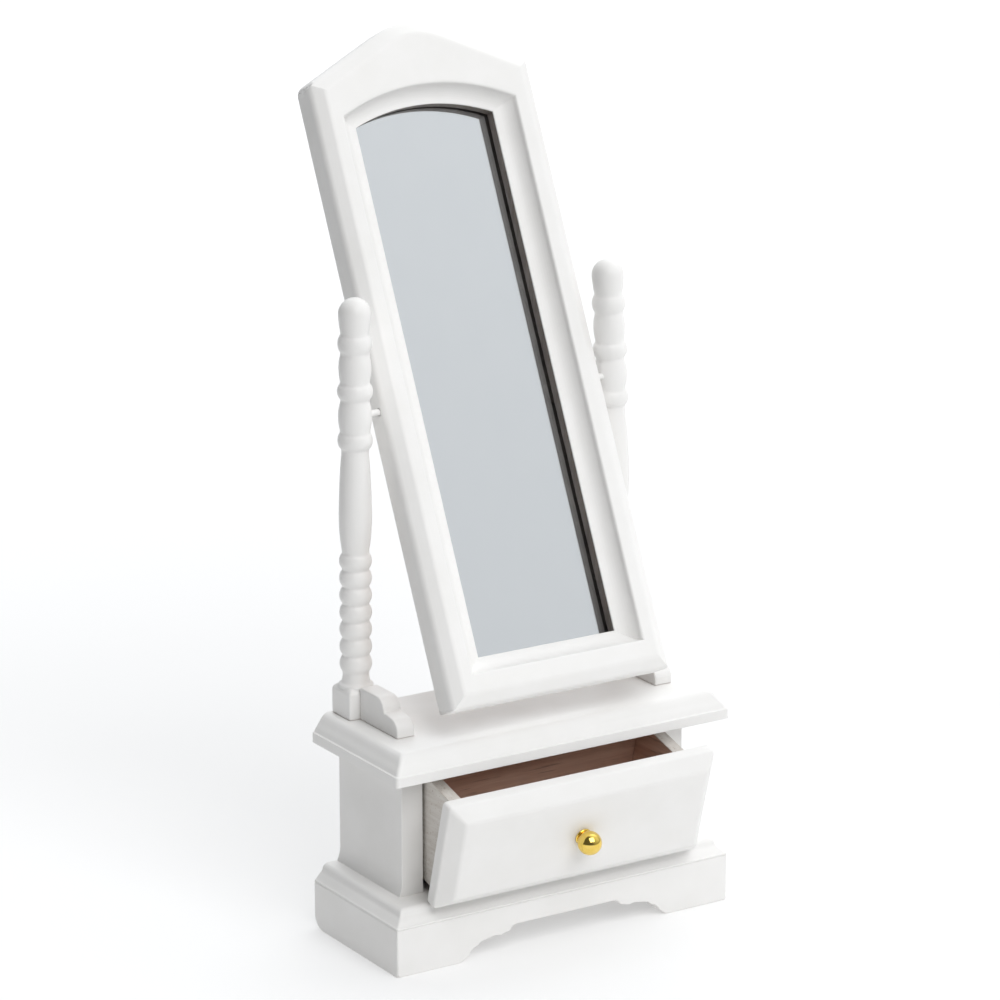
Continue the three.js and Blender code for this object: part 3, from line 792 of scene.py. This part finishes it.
def member(section, cuts):
    """One length of the moulding, lofted through its cuts. Each cut picks a section line's point.

    An end is not flat, so it is closed by a fan of triangles around a middle point."""
    bm = bmesh.new()
    rows = []
    for cut in cuts:
        row = []
        for corner, head, depth, _ in section:
            p = cut(corner, head)
            row.append(bm.verts.new((p.x, -depth, p.y)))
        rows.append(row)
    size = len(section)
    for low, high in zip(rows, rows[1:]):
        for i in range(size):
            j = (i + 1) % size
            face = bm.faces.new((low[i], low[j], high[j], high[i]))
            face.material_index = section[j][3]
    for row in (rows[0][::-1], rows[-1]):
        middle = (row[0].co + row[-3].co) / 2
        hub = bm.verts.new((middle.x, 1.0, middle.z))
        for a, b in zip(row, row[1:] + row[:1]):
            bm.faces.new((a, b, hub))
    return bm


def softened_corners():
    """The frame's outline pushed through its depth, with its outer corners rounded in plan."""
    corner, head = Vector((FRAME_HALF_WIDTH, FRAME_BOTTOM)), outer_head(0)
    outline = [flipped(corner), corner, *head]
    radii = [CORNER_BOTTOM, CORNER_BOTTOM, CORNER_SHOULDER, *[0] * (len(head) - 2), CORNER_SHOULDER]
    ring = rounded_ring(outline, radii, 6)
    return loft([[(p.x, y, p.y) for p in ring] for y in (-FRAME_FACE - 1, -FRAME_BACK + 1)])


def sight_sheet(back, front):
    """A sheet behind the sight opening, between two depths."""
    corner, arch = sight_line(PANE_MARGIN, PANE_MARGIN, PANE_MARGIN)
    outline = [flipped(corner), corner, *arch]
    return loft([[(p.x, -depth, p.y) for p in outline] for depth in (back, front)])


def add_mirror():
    section = frame_profile()
    lengths = {
        "frame_stile_left": [lambda c, h: flipped(c), lambda c, h: h[-1]],
        "frame_stile_right": [lambda c, h: c, lambda c, h: h[0]],
        "frame_bottom_rail": [lambda c, h: c, lambda c, h: flipped(c)],
        "frame_head": [lambda c, h, i=i: h[i] for i in range(HEAD_STEPS + 1)],
    }
    for node, cuts in lengths.items():
        grain = "Z" if "stile" in node else "X"
        piece = make(f"{node}_moulding", member(section, cuts), "mirror",
                     [smooth_paint[grain], recess_wood], [node], MIRROR,
                     lambda face: face.material_index)
        combine(piece, softened_corners(), "INTERSECT", MIRROR)
        if "stile" in node:
            add_pin_hole(piece, -1 if node.endswith("left") else 1)
    pane = soften(sight_sheet(PANE_BACK, PANE_FRONT), 0.05, 1)
    make("mirror_pane", pane, "mirror", [glass], ["mirror_glass"], MIRROR)
    make("silvered_back", sight_sheet(SILVER_BACK, SILVER_FRONT), "mirror",
         [silver], [], MIRROR)
    high = own_corners("backing_panel", MIRROR)[1]
    corner, head = outer_line(FRAME_HALF_WIDTH - high.x)
    outline = [flipped(corner), corner, *head]
    panel = loft([[(p.x, -depth, p.y) for p in outline] for depth in (BACKING_BACK, BACKING_FRONT)])
    make("hardboard_back", soften(panel, 0.08, 2), "mirror", [hardboard],
         ["backing_panel"], MIRROR)


def add_pin_hole(piece, side):
    """The hole that a pin turns in, with play all round, on the left (-1) or the right (1)."""
    low, high = corners("pivot_pin_right")
    radius = (high.z - low.z) / 2 + PIN_PLAY
    hole = lathe([(radius, low.x - PIN_PLAY), (radius, FRAME_HALF_WIDTH + 1)], PIN_SEGMENTS)
    hole.transform(Matrix.Rotation(math.radians(90 * side), 4, "Y"))
    combine(piece, hole, "DIFFERENCE", MIRROR)


# ---- Drawer ------------------------------------------------------------------------------

DRAWER_EDGE = 2.0
DRAWER_BEVEL = 2.46
DRAWER_THICKNESS = 4.27
DRAWER_CORNER = 0.8         # of its edge, seen from the front
FIELD_CORNER = 0.5          # and of the flat field
KNOB_RADIUS = 2.05
KNOB_CENTRE = 2.15          # in front of the drawer's face
KNOB_SPIKE = (0.45, 2.7)    # radius, and how far it goes into the front
KNOB_FLANGE = 1.5
KNOB_NECK_ANGLE = 32        # between the ball's axis and where the neck meets it


def drawer_front():
    """A fielded front: a flat field, bevelled on all four sides down to a square edge."""
    low, high = own_corners("drawer_front", DRAWER)
    profile = rounded([(1.0, 0), (0.1, 0), (0, 0.1), (0, DRAWER_EDGE),
                       (DRAWER_BEVEL, DRAWER_THICKNESS), (DRAWER_BEVEL + 1.5, DRAWER_THICKNESS)],
                      [0, 0.1, 0.1, 0.35, 0.5, 0], 4)
    rings = []
    for inset, depth in profile:
        outline = [(low.x + inset, low.z + inset), (high.x - inset, low.z + inset),
                   (high.x - inset, high.z - inset), (low.x + inset, high.z - inset)]
        corner = DRAWER_CORNER if depth < DRAWER_EDGE + 0.3 else FIELD_CORNER
        ring = rounded_ring(outline, corner, 4)
        rings.append([(q.x, high.y - depth, q.y) for q in ring])
    return loft(rings)


def add_drawer_box():
    """The box behind the front: brown inside and on its rear, thinly painted outside and on top."""
    pale = 1
    for node, grain, outward in (("drawer_side_left", "Y", Vector((-1, 0, 0))),
                                 ("drawer_side_right", "Y", Vector((1, 0, 0))),
                                 ("drawer_back", "X", Vector((0, 1, 0))),
                                 ("drawer_bottom", "X", Vector((0, 0, -1)))):
        low, high = own_corners(node, DRAWER)
        up = Vector((0, 0, 1 if node != "drawer_bottom" else -1))

        def side_of(face, outward=outward, up=up):
            return pale if max(face.normal.dot(outward), face.normal.dot(up)) > 0.3 else 0

        make(f"{node}_board", soften(block(low, high), 0.12, 2), "drawer",
             [wood[grain], thin_paint], [node], DRAWER, side_of)


def knob():
    """A ball on a small flange, with a neck between, and the spike that holds it. Z points out."""
    thin, length = KNOB_SPIKE
    line = [(thin, -length), (thin, 0.1), (KNOB_FLANGE, 0.1), (KNOB_FLANGE, 0.28), (1.35, 0.4),
            (1.12, 0.42)]
    profile = rounded(line, [0, 0, 0.05, 0.08, 0.08, 0], 3)
    profile += arc(0, KNOB_CENTRE, KNOB_RADIUS, KNOB_NECK_ANGLE - 90, 89, 30)
    return lathe(profile, 64)


def add_drawer():
    make("drawer_front_board", drawer_front(), "drawer", [paint["X"]],
         ["drawer_front"], DRAWER)
    add_drawer_box()
    low, high = own_corners("drawer_front", DRAWER)
    out = Matrix.Translation(((low.x + high.x) / 2, low.y, (low.z + high.z) / 2))
    bm = knob()
    bm.transform(Matrix.Rotation(math.radians(90), 4, "X"))
    make("brass_knob", bm, "drawer", [brass], ["knob"], DRAWER @ out)


def thinly_painted(name):
    """One rough coat of off-white paint, with the brown wood showing in specks."""
    m = Material(name, IOR=PAINT_IOR)
    streaks = m.noise(1500.0, 3.0, m.stretched((1.0, 0.12, 1.0)))
    specks = m.between(m.noise(2400.0, 3.0), 0.62, 0.7)
    worn = m.math("MULTIPLY", m.edges(0.3), m.between(m.noise(900.0, 3.0), 0.42, 0.6))
    base = m.mix(m.spread(streaks), colour(0.74, 0.71, 0.67), colour(0.63, 0.59, 0.54))
    brown_mix = m.math("MULTIPLY", m.math("MAXIMUM", specks, worn), 0.6)
    m.surface(m.mix(brown_mix, base, colour(0.36, 0.25, 0.19)), m.spread(streaks, 0.55, 0.75))
    m.bump(m.math("SUBTRACT", streaks, m.math("MULTIPLY", specks, 0.6)), 0.05, 0.6)
    return m.material


thin_paint = thinly_painted("thin_paint")

add_plinth()
add_boards()
add_case()
add_posts()
add_mirror()
add_drawer()

# ---- Floor, light and camera ---------------------------------------------------------------

FLOOR_REACH = 6.0           # metres, here and in the rest of the studio
FLOOR_NEAR = 0.63           # brightness of its paint by the table
FLOOR_FAR = 0.4             # and far out to its front and left
FADE_LEFT = (-0.3, -0.13)   # where it turns from one to the other, along X
FADE_FRONT = (-0.33, -0.16)     # and along Y
GLOW_RANGE = (0.15, 0.7)    # distances from the table
GLOW = (0.33, 0.55)         # how much the white floor glows at each of them
STUDIO_DIM = 0.12
PATCH_EDGE = 0.5            # cosine of the angle at which a bright patch has faded out
STUDIO_PATCHES = (((0.55, -0.5, 0.67), 0.56), ((0.3, 0.62, 0.72), 1.4),
                  ((0.8, 0.1, 0.6), 0.3))     # the way to each patch, and its brightness
KEY_PLACE = (-0.05, -0.84, 0.92)
KEY_SIZE = 0.9
KEY_BRIGHTNESS = 3.2
MIRROR_HEIGHT = 0.07


def add_floor():
    """A wide floor, white and glowing a little, that is greyer far out to its front and left."""
    outline = [(-FLOOR_REACH, -FLOOR_REACH, 0), (FLOOR_REACH, -FLOOR_REACH, 0),
               (FLOOR_REACH, FLOOR_REACH, 0), (-FLOOR_REACH, FLOOR_REACH, 0)]
    mesh = bpy.data.meshes.new("floor")
    mesh.from_pydata(outline, [], [(0, 1, 2, 3)])
    floor = bpy.data.objects.new("floor", mesh)
    bpy.context.scene.collection.objects.link(floor)
    m = Material("floor", Roughness=0.9, Emission_Color=colour(1, 1, 1), Specular_IOR_Level=0.2)
    place = m.add("ShaderNodeSeparateXYZ", {0: m.place}).outputs
    from_left, from_front = m.between(place["X"], *FADE_LEFT), m.between(place["Y"], *FADE_FRONT)
    white = m.math("MULTIPLY", from_left, from_front)
    base = m.mix(white, colour(*[FLOOR_FAR] * 3), colour(*[FLOOR_NEAR] * 3))
    m.feed(m.shader.inputs["Base Color"], base)
    distance = m.add("ShaderNodeVectorMath", {0: m.place}, operation="LENGTH").outputs["Value"]
    glow = m.math("MULTIPLY", white, m.between(distance, *GLOW_RANGE, *GLOW))
    m.feed(m.shader.inputs["Emission Strength"], glow)
    mesh.materials.append(m.material)


def add_world():
    """A dim studio with three broad, soft-edged bright patches."""
    world = bpy.data.worlds.new("studio")
    bpy.context.scene.world = world
    world.use_nodes = True
    tree = world.node_tree
    background = tree.nodes["Background"]
    place = tree.nodes.new("ShaderNodeTexCoord").outputs["Generated"]
    total = None
    for direction, radiance in STUDIO_PATCHES:
        dot = tree.nodes.new("ShaderNodeVectorMath")
        dot.operation = "DOT_PRODUCT"
        tree.links.new(place, dot.inputs[0])
        dot.inputs[1].default_value = Vector(direction).normalized()
        patch = tree.nodes.new("ShaderNodeMapRange")
        patch.interpolation_type = "SMOOTHSTEP"
        patch.inputs["From Min"].default_value = PATCH_EDGE
        patch.inputs["To Max"].default_value = radiance
        tree.links.new(dot.outputs["Value"], patch.inputs["Value"])
        add = tree.nodes.new("ShaderNodeMath")
        tree.links.new(patch.outputs["Result"], add.inputs[0])
        if total is None:
            add.inputs[1].default_value = STUDIO_DIM
        else:
            tree.links.new(total, add.inputs[1])
        total = add.outputs[0]
    tree.links.new(total, background.inputs["Strength"])
    background.inputs["Color"].default_value = colour(0.98, 1.0, 1.02)


def add_softbox():
    """A square light in front, which faces the mirror's middle."""
    light = bpy.data.lights.new("key_softbox", "AREA")
    light.shape = "SQUARE"
    light.size = KEY_SIZE
    light.energy = KEY_BRIGHTNESS * math.pi * KEY_SIZE ** 2
    softbox = bpy.data.objects.new("key_softbox", light)
    bpy.context.scene.collection.objects.link(softbox)
    softbox.location = KEY_PLACE
    away = Vector(KEY_PLACE) - Vector((0, 0, MIRROR_HEIGHT))
    softbox.rotation_euler = away.to_track_quat("Z", "Y").to_euler()


def add_camera():
    """A long lens to the left of the front and a little above. Azimuth 0 is straight in front."""
    azimuth, elevation = math.radians(CAMERA_AZIMUTH), math.radians(CAMERA_ELEVATION)
    back = Vector((math.sin(azimuth) * math.cos(elevation),
                   -math.cos(azimuth) * math.cos(elevation), math.sin(elevation)))
    camera = bpy.data.objects.new("camera", bpy.data.cameras.new("camera"))
    bpy.context.scene.collection.objects.link(camera)
    camera.data.lens = CAMERA_LENS
    camera.data.clip_start = 0.01
    camera.location = (plinth_centre + Vector(CAMERA_AIM) + back * CAMERA_DISTANCE) * MM
    camera.rotation_euler = back.to_track_quat("Z", "Y").to_euler()
    bpy.context.scene.camera = camera


add_floor()
add_world()
add_softbox()
add_camera()
bpy.context.scene.view_settings.view_transform = "Standard"
